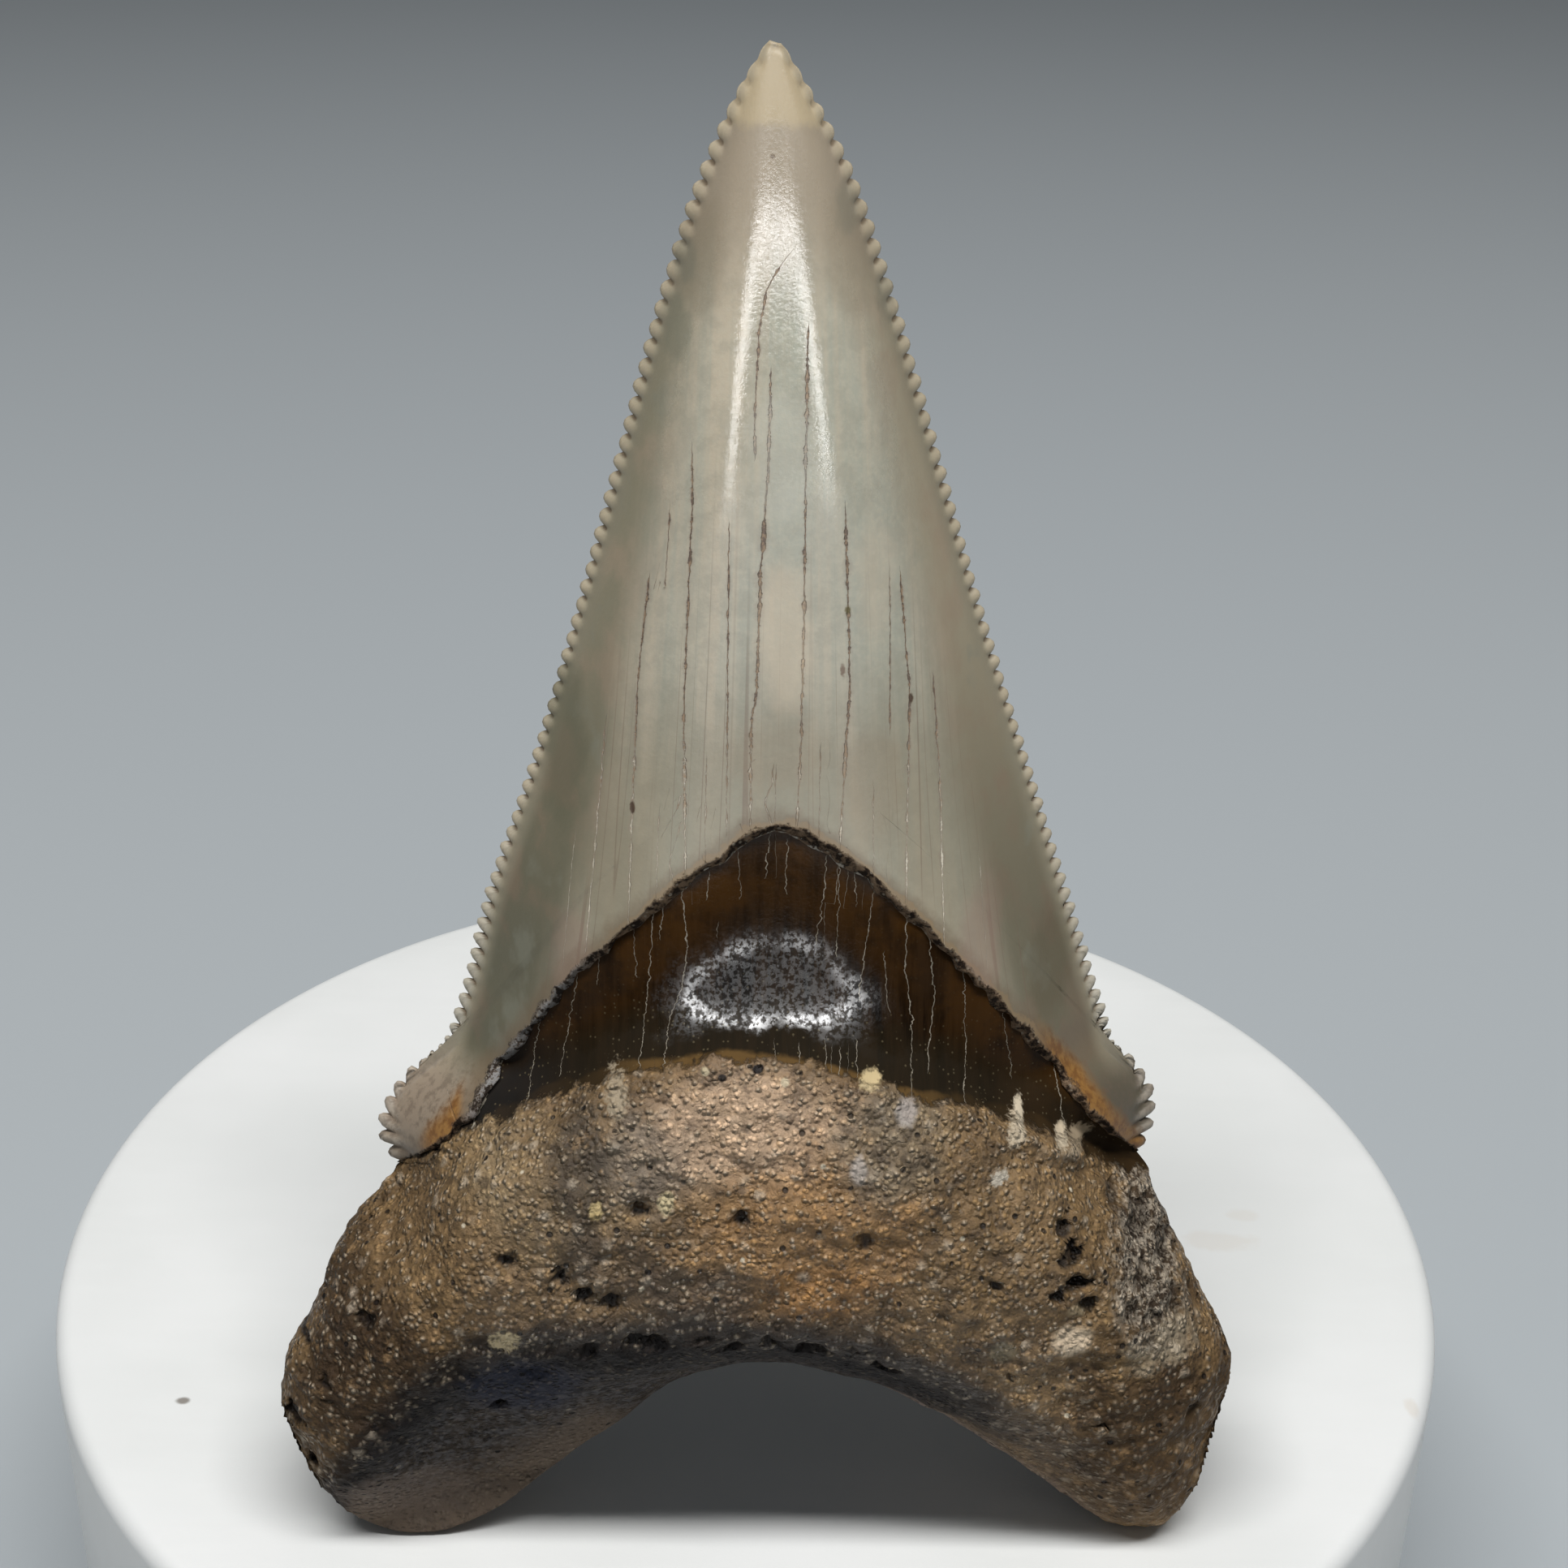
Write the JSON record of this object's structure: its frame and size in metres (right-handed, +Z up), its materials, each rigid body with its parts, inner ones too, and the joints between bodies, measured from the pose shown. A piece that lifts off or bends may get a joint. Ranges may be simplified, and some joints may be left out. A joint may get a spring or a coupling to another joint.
{
  "type": "fossil shark tooth",
  "caption": "fossil shark tooth with a tall serrated crown, small side cusps and a two-lobed root, standing on a round display block",
  "frame": {"origin": "centre of the display block's flat underside", "axes": "+Z up, +X to the viewer's right across the tooth, +Y from the tooth's inner face towards its outer face"},
  "size_m": [0.07, 0.07, 0.0846],
  "materials": {
    "tooth": "glossy grey-beige enamel over a dark satin band and a rough brown root",
    "stand": "plain white satin"
  },
  "bodies": {
    "root": {"tooth": "tooth", "stand": "stand"}
  },
  "joints": []
}
